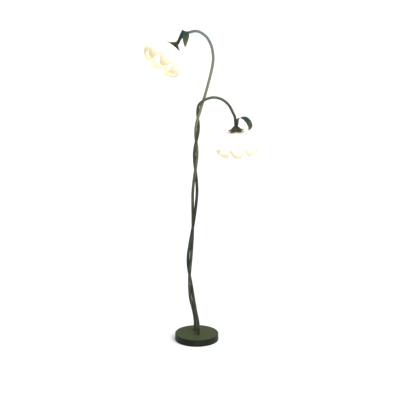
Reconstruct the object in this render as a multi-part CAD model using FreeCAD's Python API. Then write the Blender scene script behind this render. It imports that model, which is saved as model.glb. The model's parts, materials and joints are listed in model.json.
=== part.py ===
import FreeCAD, Part
import math
import os

# Two-stem flower floor lamp: two tapered steel tubes twine round each other out of a round
# weighted base, part near the top and arch over to carry a glass flower head each.
# Millimetres, +Z up, origin on the floor under the middle of the base, viewer at -Y.

V = FreeCAD.Vector
UP = V(0, 0, 1)

# ---- base ---------------------------------------------------------------------------------
base_radius = 110.5
base_top = 37.2            # height of the cover's top face above the floor
base_edge_round = 4.0
cover_wall = 1.8
pad_height = 2.0
pad_inset = 4.0            # pad's outer edge inside the cover's outer edge
plate_thickness = 2.5
plate_gap = 0.4            # bottom plate to cover wall
ballast_gap = 0.8          # ballast to cover wall
cavity_radius = 62.0       # wiring space in the underside of the ballast
cavity_depth = 20.0
plate_screw_circle = 78.0  # radius of the screw circle
plate_screw_radius = 2.0
plate_screw_head_radius = 3.9
plate_screw_head = 1.9     # height of the countersunk head
plate_screw_length = 12.0
plate_screw_count = 4
screw_clearance = 0.15
screw_hole_spare = 2.0     # depth of a screw hole beyond the screw
screw_slot = 0.8

# ---- cable inlet at the back ----------------------------------------------------------------
inlet_height = 13.0
inlet_hole_radius = 6.5
inlet_bore_radius = 3.6
inlet_lip = 1.5            # lip of the rubber bush on each side of the wall
inlet_lip_overhang = 1.8
inlet_start = 86.0         # distance from the middle where cuts through the back wall start
channel_gap = 1.0          # ballast channel to the lip of the bush

# ---- terminal block in the cavity -----------------------------------------------------------
terminal_length = 44.0
terminal_width = 20.0
terminal_height = 12.0
terminal_pitch = 12.0
terminal_poles = 3
terminal_screw_radius = 2.2
terminal_screw_sink = 4.0
terminal_screw_drop = 0.5  # screw top below the block top
terminal_slot_width = 0.7
terminal_slot_depth = 0.7

# ---- stems ----------------------------------------------------------------------------------
foot_radius = 7.7          # outside radius of a tube at the base
head_radius = 6.9          # outside radius of a tube at the flower head
tube_wall = 1.25
strand_gap = 0.5           # clear air between the twined tubes where they lie together
foot_side = 8.3            # a foot's offset to the side of the base centre
foot_depth = 28.0          # a foot's offset to the front or back of the base centre
foot_straight = 58.0       # first straight run above the base
bend_share = 0.45          # part of the shorter leg beside a corner that its bend takes up

# Twist of the pair: angle of the lower-head stem round the trunk's middle (0 is +X, 90 is the
# back), height, sideways drift of the middle, and how far each tube stands off its neighbour.
twist = [
    (-720, 215, -24.0, 0.2),
    (-630, 346, -37.0, 0.0),
    (-540, 450, -36.0, 0.3),
    (-450, 603, -19.0, 0.0),
    (-360, 778, -9.0, 3.2),
    (-270, 897, -7.0, 0.1),
    (-180, 979, -5.0, 0.0),
    (-90, 1043, -3.0, 0.0),
    (0, 1104, 2.0, 0.0),
    (90, 1162, 5.0, 0.3),
]
twist_step = 45            # degrees between the corners of the trunk's path

# Corners of each path between the feet and the twist, mirrored for the two stems: share of
# the foot's depth, share of its offset to the side, height and the middle's sideways drift.
feet_path = [
    (0.45, 0.75, 158, -11.5),
]

# Corners of the arches above the twist, as x, y, z.
upper_arch = [
    (17.0, -5.6, 1197),
    (27.0, 5.0, 1232),
    (45.0, 4.8, 1288),
    (74.5, 1.5, 1405),
    (83.0, 0.0, 1462),
    (74.0, 0.0, 1523),
    (48.0, 0.0, 1571),
    (4.0, 2.0, 1598),
    (-38.0, 9.0, 1588),
]
lower_arch = [
    (3.6, 3.4, 1197),
    (9.0, -6.8, 1232),
    (37.0, -11.0, 1257),
    (80.0, -6.0, 1270),
    (124.0, -4.0, 1260),
    (160.0, -2.0, 1229),
    (180.0, 0.0, 1186),
]

# ---- heads: where each calyx top lies, the tilt of its axis in the XZ plane (positive opens to
# ---- the left), the lean of its opening (negative to the viewer), and the turn of its sepals
# ---- and petals
heads = {
    "upper": {"top": V(-98.5, 0, 1534.5), "tilt": 41.0, "lean": -22.0, "sepals": 18.0, "petals": -92.0},
    "lower": {"top": V(192.5, 0, 1119.5), "tilt": -4.6, "lean": 0.0, "sepals": 18.0, "petals": -90.0},
}
head_straight = 48.0       # last straight run of a stem before its head

# ---- fittings of a stem ---------------------------------------------------------------------
fit_gap = 0.08             # radial running clearance of a tube on its nipple or stud
nipple_bore = 3.1
nipple_in_tube = 20.0
nut_flats = 15.0
nut_height = 4.0
washer_height = 1.0
washer_radius = 8.5
stud_in_tube = 22.0
stud_bore = 3.6
stud_tail = 1.2            # stud standing out below its nut
stud_nut_flats = 19.0
stud_nut_height = 5.0
stud_washer_height = 1.5
stud_washer_radius = 13.0
wire_radius = 2.6
wire_gap = 0.3             # wire to the side of the terminal block
wire_lift = 1.6            # wire over the bottom plate

# ---- flower head, in its own frame: z = 0 at the calyx top, opening towards -z ---------------
leaf_thickness = 1.4
leaf_crease = 3.2          # how far the leaf's edges stand off its midrib where it is widest
leaf_tab_radius = 11.6
leaf_step = 0.5            # midrib rows between two sections of a blade
# Each blade is bent by hand, so above its root it has a tilt and a turn of its own. Midrib
# rows are the distance from the axis, the height over the calyx top and the blade's width.
leaves = {
    "upper": {"tilt": 22.0, "turn": -61.0, "midrib": [
        (10.5, 0.4, 12.0),
        (13.0, 22.0, 17.0),
        (17.5, 46.0, 22.0),
        (23.0, 64.0, 26.0),
        (29.0, 75.5, 31.0),
        (38.0, 76.0, 35.0),
        (50.0, 61.0, 37.0),
        (64.0, 37.0, 28.0),
        (87.0, 12.0, 2.4),
    ]},
    "lower": {"tilt": -4.6, "turn": -42.0, "midrib": [
        (10.5, 0.4, 11.0),
        (14.0, 16.0, 15.0),
        (17.0, 33.0, 22.0),
        (31.0, 46.0, 30.0),
        (57.0, 48.0, 36.0),
        (80.0, 35.0, 38.0),
        (93.0, 14.0, 33.0),
        (91.0, -1.0, 24.0),
        (82.0, -12.0, 6.0),
    ]},
}
calyx_wall = 1.2
# calyx outline as radius and depth below its top
calyx_outline = [(10.0, 0.0), (14.0, 2.5), (18.5, 6.5), (23.0, 11.0), (28.5, 16.0), (35.0, 19.0),
                 (42.5, 21.0)]
calyx_cup_radius = 27.0    # the sepals part beyond this radius
sepal_count = 5
sepal_root = 17.0          # half width of a sepal where it leaves the cup
sepal_start = 20.0         # distance from the axis where a sepal's outline starts
sepal_middle = 32.0        # distance where its sides bend towards the tip
sepal_middle_half = 13.6   # half width there
sepal_tip = 43.0

holder_radius = 14.2
holder_wall = 1.6
holder_cap_top = 8.0       # depth of the cap's top below the calyx top
holder_cap_wall = 1.2
holder_flange_depth = 20.0
holder_flange_height = 2.2
holder_flange_width = 4.0  # flange and seal standing out from the barrel
holder_chamfer = 3.0       # round of the cap's shoulder
holder_end = 58.0
holder_core_height = 9.0
holder_gap = 0.2
contact_radius = 7.05      # inside radius of the threaded contact sleeve
contact_wall = 0.5
contact_length = 22.0
spring_thickness = 0.5
spring_width = 5.0
seal_height = 1.0

glass = 3.4
neck_clearance = 0.4       # shade neck round the holder
ring_height = 5.0
ring_width = 6.0
ring_gap = 0.3             # ring to glass
ring_thread_gap = 0.1
ring_grips = 12
grip_radius = 1.6
grip_centre = 0.6          # middle of a grip groove outside the ring
petal_count = 8
# shade outline through the middle of a petal: radius, depth below the neck and crease depth
shade_outline = [
    (25.0, 0.0, 0.0),
    (42.0, 4.0, 0.0),
    (63.0, 15.0, 0.03),
    (82.0, 33.0, 0.08),
    (96.0, 55.0, 0.13),
    (104.0, 75.0, 0.17),
    (107.0, 92.0, 0.20),
    (101.5, 108.0, 0.20),
    (89.0, 119.0, 0.17),
    (72.0, 124.0, 0.12),
]
petal_points = 8           # points of a shade section on each petal
petal_notch = 38.0         # height of the notch between two petal tips
petal_notch_half = 22.0    # half width of the notch at the tips

bulb_cap_gap = 0.1
bulb_cap_length = 19.0
bulb_tip_radius = 3.4
bulb_tip_spread = 1.5      # how much wider the insulator is than the tip it holds
bulb_tip_gap = 0.4         # tip to the centre contact
bulb_tip_height = 2.0
bulb_radius = 22.5
bulb_length = 54.0         # globe and neck below the cap
bulb_glass = 0.9
bulb_neck_step = 0.3       # neck inside the cap's radius
bulb_neck_flare = 4.0
filament_radius = 0.9
filament_length = 22.0
filament_circle = 6.0
filament_count = 4
filament_sink = 0.6        # filament end inside its disc
filament_disc = 1.2
filament_pip_radius = 2.4

# ---- values that follow from the ones above ---------------------------------------------------
plate_bottom = pad_height
plate_top = plate_bottom + plate_thickness
ballast_top = base_top - cover_wall
cavity_top = plate_top + cavity_depth
wire_height = plate_top + wire_radius + wire_lift
stud_radius = foot_radius - tube_wall - fit_gap
stud_end = cavity_top - stud_washer_height - stud_nut_height - stud_tail
nipple_radius = head_radius - tube_wall - fit_gap
flange_radius = holder_radius + holder_flange_width
barrel_top = -holder_flange_depth
flange_bottom = barrel_top - holder_flange_height
glass_top = flange_bottom - seal_height
glass_tip = glass_top - shade_outline[-1][1]
cap_top = -holder_cap_top
core_bottom = flange_bottom - holder_core_height
contact_bottom = core_bottom - contact_length
bulb_cap_top = core_bottom - spring_thickness - bulb_tip_height - bulb_tip_gap
bulb_cap_bottom = bulb_cap_top - bulb_cap_length
bulb_centre = bulb_cap_bottom - bulb_length + bulb_radius



def cylinder(radius, low, high, x=0.0, y=0.0):
    return Part.makeCylinder(radius, high - low, V(x, y, low))


def ring(outer, inner, low, high, x=0.0, y=0.0):
    return cylinder(outer, low, high, x, y).cut(cylinder(inner, low - 1, high + 1, x, y))


def hexagon(flats, hole, low, high, x=0.0, y=0.0):
    corner = flats / math.sqrt(3)
    points = []
    for i in range(7):
        angle = math.pi / 3 * i
        points.append(V(x + corner * math.cos(angle), y + corner * math.sin(angle), low))
    body = Part.Face(Part.makePolygon(points)).extrude(V(0, 0, high - low))
    return body.cut(cylinder(hole, low - 1, high + 1, x, y))


def turned(outline):
    """Solid of revolution about Z from a closed outline of (radius, z) points."""
    points = [V(r, 0, z) for r, z in outline]
    return Part.Face(Part.makePolygon(points + points[:1])).revolve(V(), UP, 360)


def spaced(rows, position):
    """Values at a position in rows sorted by their first value, on a smooth curve."""
    last = len(rows) - 1
    i = max(0, min(last - 1, sum(1 for row in rows[1:] if row[0] <= position)))
    before, a, b, after = rows[max(i - 1, 0)], rows[i], rows[i + 1], rows[min(i + 2, last)]
    span = b[0] - a[0]
    t = (position - a[0]) / span
    values = []
    for k in range(1, len(a)):
        slope_a = (b[k] - before[k]) / (b[0] - before[0])
        slope_b = (after[k] - a[k]) / (after[0] - a[0])
        values.append((2 * t ** 3 - 3 * t ** 2 + 1) * a[k] + (t ** 3 - 2 * t ** 2 + t) * span * slope_a
                      + (3 * t ** 2 - 2 * t ** 3) * b[k] + (t ** 3 - t ** 2) * span * slope_b)
    return values


# ---- stems ------------------------------------------------------------------------------------

def trunk_corners(side):
    """Corners of one stem's path from its foot to the end of the twist, and the tube's outside
    radius at each. side is 1 for the lower head's stem, in front at the feet, -1 for the other."""
    steps = (twist[-1][0] - twist[0][0]) // twist_step
    count = steps + 1 + len(feet_path) + 2
    corners = [V(side * foot_side, -side * foot_depth, base_top),
               V(side * foot_side, -side * foot_depth, base_top + foot_straight)]
    for deep, wide, height, drift in feet_path:
        corners.append(V(drift + side * foot_side * wide, -side * foot_depth * deep, height))
    step = (head_radius - foot_radius) / (count - 2)
    radii = [foot_radius + step * max(i - 1, 0) for i in range(count)]
    for i in range(steps + 1):
        angle = twist[0][0] + i * twist_step
        height, drift, opening = spaced(twist, angle)
        reach = radii[len(corners)] + strand_gap / 2 + opening
        reach = side * reach / math.cos(math.radians(twist_step / 2))
        turn = math.radians(angle)
        corners.append(V(drift + reach * math.cos(turn), reach * math.sin(turn), height))
    return corners, radii


def head_axis(head):
    tilt = math.radians(heads[head]["tilt"])
    lean = math.radians(heads[head]["lean"])
    return V(math.sin(tilt) * math.cos(lean), -math.sin(lean), math.cos(tilt) * math.cos(lean))


def stem_path(head):
    side, arch = (1, lower_arch) if head == "lower" else (-1, upper_arch)
    corners, radii = trunk_corners(side)
    corners += [V(*point) for point in arch]
    end = heads[head]["top"] + head_axis(head) * leaf_thickness
    corners += [end + head_axis(head) * head_straight, end]
    radii += [head_radius] * (len(corners) - len(radii))
    return corners, radii


def rounded_runs(corners):
    """Straight runs and tangent arcs along a path: each is a start, a direction and a length,
    with the arc's centre, axis and angle where it bends."""
    runs = []
    at = corners[0]
    for i in range(1, len(corners) - 1):
        before = corners[i] - corners[i - 1]
        after = corners[i + 1] - corners[i]
        turn = before.getAngle(after)
        cut = bend_share * min(before.Length, after.Length)
        before.normalize()
        after.normalize()
        start = corners[i] - before * cut
        runs.append({"start": at, "along": before, "length": (start - at).Length})
        axis = before.cross(after)
        axis.normalize()
        radius = cut / math.tan(turn / 2)
        centre = start + axis.cross(before) * radius
        runs.append({"start": start, "along": before, "centre": centre, "axis": axis,
                     "angle": math.degrees(turn), "radius": radius})
        at = corners[i] + after * cut
    last = corners[-1] - at
    length = last.Length
    last.normalize()
    runs.append({"start": at, "along": last, "length": length})
    return runs


def wall_faces(runs, radii):
    """Faces of a round wall along the runs. The wall keeps its radius in a bend and changes it
    along the straight run after it."""
    faces = []
    across = runs[0]["along"].cross(V(1, 0, 0))
    across.normalize()
    for i, run in enumerate(runs):
        radius = radii[(i + 1) // 2]
        if "axis" in run:
            rotation = FreeCAD.Rotation(across, run["along"].cross(across), run["along"], "ZXY")
            circle = Part.makeCircle(radius)
            circle.Placement = FreeCAD.Placement(run["start"], rotation)
            faces.append(circle.revolve(run["centre"], run["axis"], run["angle"]))
            across = FreeCAD.Rotation(run["axis"], run["angle"]).multVec(across)
        else:
            before, after = radii[i // 2], radii[i // 2 + 1]
            rotation = FreeCAD.Rotation(across, run["along"].cross(across), run["along"], "ZXY")
            if abs(before - after) < 1e-9:
                wall = Part.makeCylinder(before, run["length"])
            else:
                wall = Part.makeCone(before, after, run["length"])
            wall.Placement = FreeCAD.Placement(run["start"], rotation)
            faces.append(wall.Faces[0])
    return faces


def bent_solid(corners, radii):
    """Solid bar along a path, from faces sewn at their common circles."""
    runs = rounded_runs(corners)
    faces = wall_faces(runs, radii)
    first, last = runs[0], runs[-1]
    ends = [(first["start"], first["along"], radii[0]),
            (last["start"] + last["along"] * last["length"], last["along"], radii[-1])]
    for centre, normal, radius in ends:
        faces.append(Part.Face(Part.Wire(Part.makeCircle(radius, centre, normal))))
    shell = Part.makeCompound(faces)
    shell.sewShape(0.001)
    solid = Part.makeSolid(shell.Shells[0] if shell.Shells else Part.Shell(faces))
    if solid.Volume < 0:
        solid.reverse()
    return solid


def stem(head):
    corners, radii = stem_path(head)
    outside = bent_solid(corners, radii)
    inside = bent_solid(corners, [radius - tube_wall for radius in radii])
    return outside.cut(inside)


def stem_wire(head):
    """Supply cable through one stem: out of the terminal block, up the bore, into the holder cap."""
    corners, radii = stem_path(head)
    side = 1 if head == "lower" else -1
    block = V(corners[0].x, -side * (terminal_width / 2 + wire_gap), wire_height)
    below = V(corners[0].x, corners[0].y, wire_height)
    top = corners[-1] - head_axis(head) * (holder_cap_top + leaf_thickness)
    path = [block, below] + corners[1:-1] + [top]
    return bent_solid(path, [wire_radius] * len(path))


# ---- base -------------------------------------------------------------------------------------

def at_feet(make):
    """One shape for the foot of each stem, as a dictionary."""
    return {"upper": make(-foot_side, foot_depth), "lower": make(foot_side, -foot_depth)}


def base_cover():
    outside = cylinder(base_radius, plate_bottom, base_top)
    top_edge = [edge for edge in outside.Edges if abs(edge.BoundBox.ZMin - base_top) < 0.01]
    outside = outside.makeFillet(base_edge_round, top_edge)
    inside = cylinder(base_radius - cover_wall, plate_bottom - 1, ballast_top)
    inner_edge = [edge for edge in inside.Edges if abs(edge.BoundBox.ZMin - ballast_top) < 0.01]
    inside = inside.makeFillet(base_edge_round - cover_wall, inner_edge)
    cover = outside.cut(inside)
    for hole in at_feet(stud_hole).values():
        cover = cover.cut(hole)
    return cover.cut(inlet_shaft(inlet_hole_radius))


def stud_hole(x, y):
    return cylinder(stud_radius + fit_gap, cavity_top - 1, base_top + 1, x, y)


def inlet_shaft(radius):
    """Bar along +Y out through the back wall of the base."""
    length = base_radius + inlet_lip + 1 - inlet_start
    return Part.makeCylinder(radius, length, V(0, inlet_start, inlet_height), V(0, 1, 0))


def screw_places():
    for i in range(plate_screw_count):
        angle = 2 * math.pi * (i + 0.5) / plate_screw_count
        yield plate_screw_circle * math.cos(angle), plate_screw_circle * math.sin(angle)


def base_ballast():
    radius = base_radius - cover_wall - ballast_gap
    body = cylinder(radius, plate_top, ballast_top)
    top_edge = [edge for edge in body.Edges if abs(edge.BoundBox.ZMin - ballast_top) < 0.01]
    body = body.makeFillet(base_edge_round, top_edge)
    body = body.cut(cylinder(cavity_radius, plate_top - 1, cavity_top))
    for hole in at_feet(stud_hole).values():
        body = body.cut(hole)
    for x, y in screw_places():
        body = body.cut(cylinder(plate_screw_radius + screw_clearance, plate_top - 1,
                                 plate_bottom + plate_screw_length + screw_hole_spare, x, y))
    channel_half = inlet_hole_radius + inlet_lip_overhang + channel_gap
    channel = Part.makeBox(2 * channel_half, radius, inlet_height + channel_half - plate_top + 1,
                           V(-channel_half, cavity_radius * 0.8, plate_top - 1))
    return body.cut(channel)


def base_plate():
    plate = cylinder(base_radius - cover_wall - plate_gap, plate_bottom, plate_top)
    for x, y in screw_places():
        plate = plate.cut(cylinder(plate_screw_radius + screw_clearance, 0, base_top, x, y))
        plate = plate.cut(screw_head(x, y, screw_clearance))
    return plate


def screw_head(x, y, clearance):
    """Countersunk head whose flat face lies level with the underside of the plate."""
    return Part.makeCone(plate_screw_head_radius + clearance, plate_screw_radius + clearance,
                         plate_screw_head, V(x, y, plate_bottom))


def base_plate_screws():
    screws = []
    for x, y in screw_places():
        shank = cylinder(plate_screw_radius, plate_bottom, plate_bottom + plate_screw_length, x, y)
        slot = Part.makeBox(2 * plate_screw_head_radius + 2, screw_slot, plate_screw_head / 2)
        slot.translate(V(x - plate_screw_head_radius - 1, y - screw_slot / 2, plate_bottom))
        screws.append(screw_head(x, y, 0).fuse(shank).removeSplitter().cut(slot))
    return Part.makeCompound(screws)


def base_pad():
    return cylinder(base_radius - pad_inset, 0, pad_height)


def cable_inlet():
    """Rubber bush in the back wall, with a lip on each side of it."""
    wall = base_radius - cover_wall
    lip = inlet_hole_radius + inlet_lip_overhang
    sagitta = base_radius - math.sqrt(base_radius ** 2 - lip ** 2)
    outer_face = base_radius + inlet_lip
    inner_face = wall - sagitta - inlet_lip
    whole = Part.makeCylinder(lip, outer_face - inner_face, V(0, inner_face, inlet_height), V(0, 1, 0))
    shell = cylinder(base_radius, 0, base_top).cut(cylinder(wall, -1, base_top + 1))
    web = inlet_shaft(inlet_hole_radius)
    bush = whole.cut(shell).fuse(whole.common(shell).common(web)).removeSplitter()
    return bush.cut(inlet_shaft(inlet_bore_radius))


def terminal_block():
    block = Part.makeBox(terminal_length, terminal_width, terminal_height,
                         V(-terminal_length / 2, -terminal_width / 2, plate_top))
    for x, y in terminal_screw_places():
        block = block.cut(cylinder(terminal_screw_radius + screw_clearance,
                                   plate_top + terminal_height - terminal_screw_sink, base_top, x, y))
    return block


def terminal_screw_places():
    for i in range(terminal_poles):
        for side in (-1, 1):
            yield (i - (terminal_poles - 1) / 2) * terminal_pitch, side * terminal_width / 4


def terminal_screws():
    block_top = plate_top + terminal_height
    top = block_top - terminal_screw_drop
    screws = []
    for x, y in terminal_screw_places():
        screw = cylinder(terminal_screw_radius, block_top - terminal_screw_sink, top, x, y)
        slot = Part.makeBox(3 * terminal_screw_radius, terminal_slot_width, 2 * terminal_slot_depth)
        slot.translate(V(x - 1.5 * terminal_screw_radius, y - terminal_slot_width / 2,
                         top - terminal_slot_depth))
        screws.append(screw.cut(slot))
    return Part.makeCompound(screws)


def foot_stud(x, y):
    return ring(stud_radius, stud_bore, stud_end, base_top + stud_in_tube, x, y)


def foot_washer(x, y):
    low = cavity_top - stud_washer_height
    return ring(stud_washer_radius, stud_radius + fit_gap, low, cavity_top, x, y)


def foot_nut(x, y):
    top = cavity_top - stud_washer_height
    return hexagon(stud_nut_flats, stud_radius + fit_gap, top - stud_nut_height, top, x, y)


# ---- flower head ------------------------------------------------------------------------------

def head_nipple():
    return ring(nipple_radius, nipple_bore, cap_top - holder_cap_wall, leaf_thickness + nipple_in_tube)


def head_washer():
    return ring(washer_radius, nipple_radius + fit_gap, -calyx_wall - washer_height, -calyx_wall)


def head_nut():
    top = -calyx_wall - washer_height
    return hexagon(nut_flats, nipple_radius + fit_gap, top - nut_height, top)


def calyx():
    """Spun cup whose rim is cut into pointed sepals."""
    outside = [V(r, 0, -depth) for r, depth in calyx_outline]
    inside = [V(r - calyx_wall * 0.7, 0, -depth - calyx_wall) for r, depth in calyx_outline]
    hole = nipple_radius + fit_gap
    points = [V(hole, 0, 0)] + outside + inside[::-1] + [V(hole, 0, -calyx_wall)]
    cup = Part.Face(Part.makePolygon(points + points[:1])).revolve(V(), UP, 360)
    low = -2 * calyx_outline[-1][1]
    keep = cylinder(calyx_cup_radius, low, 1)
    for i in range(sepal_count):
        corner = [V(sepal_start, -sepal_root, low), V(sepal_middle, -sepal_middle_half, low),
                  V(sepal_tip, 0, low), V(sepal_middle, sepal_middle_half, low),
                  V(sepal_start, sepal_root, low)]
        arc_a = Part.Arc(corner[0], corner[1], corner[2]).toShape()
        arc_b = Part.Arc(corner[2], corner[3], corner[4]).toShape()
        back = Part.makeLine(corner[4], corner[0])
        sepal = Part.Face(Part.Wire([arc_a, arc_b, back])).extrude(V(0, 0, 1 - low))
        sepal.rotate(V(), UP, 360 / sepal_count * i)
        keep = keep.fuse(sepal)
    return cup.common(keep)


def leaf_section(midrib, at):
    """Closed outline across a blade at a place counted in midrib rows, square to the midrib."""
    rows = [(i,) + row for i, row in enumerate(midrib)]
    r, z, width = spaced(rows, at)
    before = spaced(rows, max(at - leaf_step, 0))
    after = spaced(rows, min(at + leaf_step, len(midrib) - 1))
    along = V(after[0] - before[0], 0, after[1] - before[1]) if at else V(0, 0, 1)
    along.normalize()
    inward = V(-along.z, 0, along.x)
    rise = inward * (leaf_crease * width / max(row[2] for row in midrib))
    centre = V(r, 0, z)
    edge = V(0, width / 2, 0)
    inner = [centre - edge + rise, centre, centre + edge + rise]
    outer = [point - inward * leaf_thickness for point in inner]
    points = inner + outer[::-1]
    return Part.makePolygon(points + points[:1])


def leaf(head):
    """Blade with a sunk midrib, rising beside the stem and curling over, on a ring that is
    clamped under the tube."""
    place, own = heads[head], leaves[head]
    sections = [set_on(leaf_section(own["midrib"], 0), head, own["turn"], place["tilt"], place["lean"])]
    for i in range(1, int((len(own["midrib"]) - 1) / leaf_step) + 1):
        section = leaf_section(own["midrib"], i * leaf_step)
        sections.append(set_on(section, head, own["turn"], own["tilt"], 0))
    blade = Part.makeLoft(sections, True, True)
    tab = ring(leaf_tab_radius, nipple_radius + fit_gap, 0, leaf_thickness)
    tab = set_on(tab, head, 0, place["tilt"], place["lean"])
    return tab.fuse(blade).removeSplitter()


def holder_cap():
    hole = nipple_radius + fit_gap
    inner = holder_radius - holder_cap_wall
    corner = holder_chamfer - holder_cap_wall / 2
    low = cap_top - holder_cap_wall
    outline = [(hole, cap_top), (holder_radius - holder_chamfer, cap_top),
               (holder_radius, cap_top - holder_chamfer), (holder_radius, barrel_top),
               (inner, barrel_top), (inner, low - corner), (inner - corner, low), (hole, low)]
    return turned(outline)


def holder_barrel():
    inner = holder_radius - holder_wall
    barrel = ring(holder_radius, inner, -holder_end, barrel_top)
    flange = ring(flange_radius, inner, flange_bottom, barrel_top)
    return barrel.fuse(flange).removeSplitter()


def holder_core():
    """Ceramic disc that carries the contacts inside the barrel."""
    radius = holder_radius - holder_wall - holder_gap
    core = cylinder(radius, core_bottom, flange_bottom)
    skirt = ring(radius, contact_radius + contact_wall, contact_bottom, core_bottom)
    return core.fuse(skirt).removeSplitter()


def contact_sleeve():
    return ring(contact_radius + contact_wall, contact_radius, contact_bottom, core_bottom)


def centre_contact():
    return Part.makeBox(2 * spring_width, spring_width, spring_thickness,
                        V(-spring_width, -spring_width / 2, core_bottom - spring_thickness))


def shade_seal():
    return ring(flange_radius, holder_radius + neck_clearance, glass_top, flange_bottom)


def shade_section(radius, depth, crease):
    """Closed curve round the shade with a rounded lobe for each petal."""
    points = []
    count = petal_count * petal_points
    for i in range(count):
        angle = 2 * math.pi * i / count
        lobe = math.sqrt(abs(math.cos(angle * petal_count / 2)))
        reach = radius * (1 - crease * (1 - lobe))
        points.append(V(reach * math.cos(angle), reach * math.sin(angle), glass_top - depth))
    curve = Part.BSplineCurve()
    curve.interpolate(points, PeriodicFlag=True)
    return Part.Wire(curve.toShape())


def shade_shell(outline):
    return Part.makeLoft([shade_section(*row) for row in outline], True, False)


def inner_outline():
    """The shade outline moved inwards by the thickness of the glass."""
    rows = []
    last = len(shade_outline) - 1
    for i, (radius, depth, crease) in enumerate(shade_outline):
        before, after = shade_outline[max(i - 1, 0)], shade_outline[min(i + 1, last)]
        run, drop = after[0] - before[0], after[1] - before[1]
        length = math.hypot(run, drop)
        if i == 0:
            run, drop, length = 1, 0, 1
        rows.append((radius - glass * drop / length, depth + glass * run / length, crease))
    return rows


def notch_cutter():
    """Wedge that cuts the gap between two petal tips, along +X."""
    radius = shade_outline[-1][0]
    low = glass_tip - petal_notch
    half = 2 * petal_notch_half
    points = [V(radius / 2, 0, glass_tip + petal_notch), V(radius / 2, half, low),
              V(radius / 2, -half, low)]
    return Part.Face(Part.makePolygon(points + points[:1])).extrude(V(radius, 0, 0))


def shade():
    outside = shade_shell(shade_outline)
    radius, depth, crease = shade_outline[-1]
    beyond = (radius - glass, depth + glass, crease)
    inside = shade_shell(inner_outline() + [beyond])
    body = outside.cut(inside)
    body = body.cut(cylinder(holder_radius + neck_clearance, glass_tip, glass_top + 1))
    for i in range(petal_count):
        cutter = notch_cutter()
        cutter.rotate(V(), UP, 360 / petal_count * (i + 0.5))
        body = body.cut(cutter)
    return body


def shade_ring():
    top = glass_top - glass - ring_gap
    low = top - ring_height
    outer = holder_radius + ring_thread_gap + ring_width
    body = ring(outer, holder_radius + ring_thread_gap, low, top)
    for i in range(ring_grips):
        angle = 2 * math.pi * i / ring_grips
        x, y = (outer + grip_centre) * math.cos(angle), (outer + grip_centre) * math.sin(angle)
        body = body.cut(cylinder(grip_radius, low - 1, top + 1, x, y))
    return body


def bulb_cap():
    radius = contact_radius - bulb_cap_gap
    shell = cylinder(radius, bulb_cap_bottom, bulb_cap_top)
    tip = Part.makeCone(bulb_tip_radius + bulb_tip_spread, bulb_tip_radius, bulb_tip_height,
                        V(0, 0, bulb_cap_top))
    return shell.fuse(tip).removeSplitter()


def bulb_profile(inset):
    """Half outline of the globe and its neck, moved inwards by an inset."""
    neck = contact_radius - bulb_cap_gap - bulb_neck_step - inset
    flare = neck + bulb_neck_flare
    radius = bulb_radius - inset
    shoulder = bulb_centre + math.sqrt(radius ** 2 - flare ** 2)
    top = bulb_cap_bottom - inset
    start = V(0, 0, top)
    edges = [Part.makeLine(start, V(neck, 0, top)),
             Part.makeLine(V(neck, 0, top), V(flare, 0, shoulder)),
             Part.Arc(V(flare, 0, shoulder), V(radius, 0, bulb_centre),
                      V(0, 0, bulb_centre - radius)).toShape(),
             Part.makeLine(V(0, 0, bulb_centre - radius), start)]
    return Part.Face(Part.Wire(edges)).revolve(V(), UP, 360)


def bulb_globe():
    return bulb_profile(0).cut(bulb_profile(bulb_glass))


def bulb_filament():
    """Glass pip under the cap that carries four upright filaments."""
    top = bulb_cap_bottom - bulb_glass
    low = bulb_centre - filament_length / 2
    foot = bulb_centre + filament_length / 2
    spread = cylinder(filament_circle + 2 * filament_radius, foot - filament_disc, foot)
    body = cylinder(filament_pip_radius, foot, top).fuse(spread)
    for i in range(filament_count):
        angle = 2 * math.pi * i / filament_count
        x, y = filament_circle * math.cos(angle), filament_circle * math.sin(angle)
        body = body.fuse(cylinder(filament_radius, low, foot - filament_sink, x, y))
    return body.removeSplitter()


head_parts = {
    "nipple": head_nipple, "washer": head_washer, "nut": head_nut, "calyx": calyx,
    "holder_cap": holder_cap, "holder_barrel": holder_barrel, "holder_core": holder_core,
    "contact_sleeve": contact_sleeve, "centre_contact": centre_contact, "shade_seal": shade_seal,
    "shade": shade, "shade_ring": shade_ring, "bulb_cap": bulb_cap, "bulb_globe": bulb_globe,
    "bulb_filament": bulb_filament,
}
turned_parts = {"calyx": "sepals", "shade": "petals"}


def set_on(shape, head, turn, tilt, lean):
    """A copy of a shape turned about its axis, leaned and tilted, and moved to a calyx top."""
    shape = shape.copy()
    shape.rotate(V(), UP, turn)
    shape.rotate(V(), V(1, 0, 0), lean)
    shape.rotate(V(), V(0, 1, 0), tilt)
    shape.translate(heads[head]["top"])
    return shape


def head_part(shape, head, part):
    place = heads[head]
    turn = place[turned_parts[part]] if part in turned_parts else 0
    return set_on(shape, head, turn, place["tilt"], place["lean"])


def lamp():
    parts = {
        "base_cover": base_cover(), "base_ballast": base_ballast(), "base_plate": base_plate(),
        "base_plate_screws": base_plate_screws(), "base_pad": base_pad(), "cable_inlet": cable_inlet(),
        "terminal_block": terminal_block(), "terminal_screws": terminal_screws(),
    }
    for part, make in {"foot_stud": foot_stud, "foot_washer": foot_washer, "foot_nut": foot_nut}.items():
        for head, shape in at_feet(make).items():
            parts["%s_%s" % (head, part)] = shape
    for head in heads:
        parts[head + "_stem"] = stem(head)
        parts[head + "_wire"] = stem_wire(head)
        parts[head + "_leaf"] = leaf(head)
    for part, make in head_parts.items():
        shape = make()
        for head in heads:
            parts["%s_%s" % (head, part)] = head_part(shape, head, part)
    return parts


if __name__ == "__main__":
    os.makedirs("parts", exist_ok=True)
    for node, shape in lamp().items():
        shape.exportStep("parts/%s.step" % node)
        box = shape.BoundBox
        print("%-22s valid %s, solids %d, %.0f mm3, z %.1f to %.1f"
              % (node, shape.isValid(), len(shape.Solids), shape.Volume, box.ZMin, box.ZMax))
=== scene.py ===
import json
import math

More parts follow.
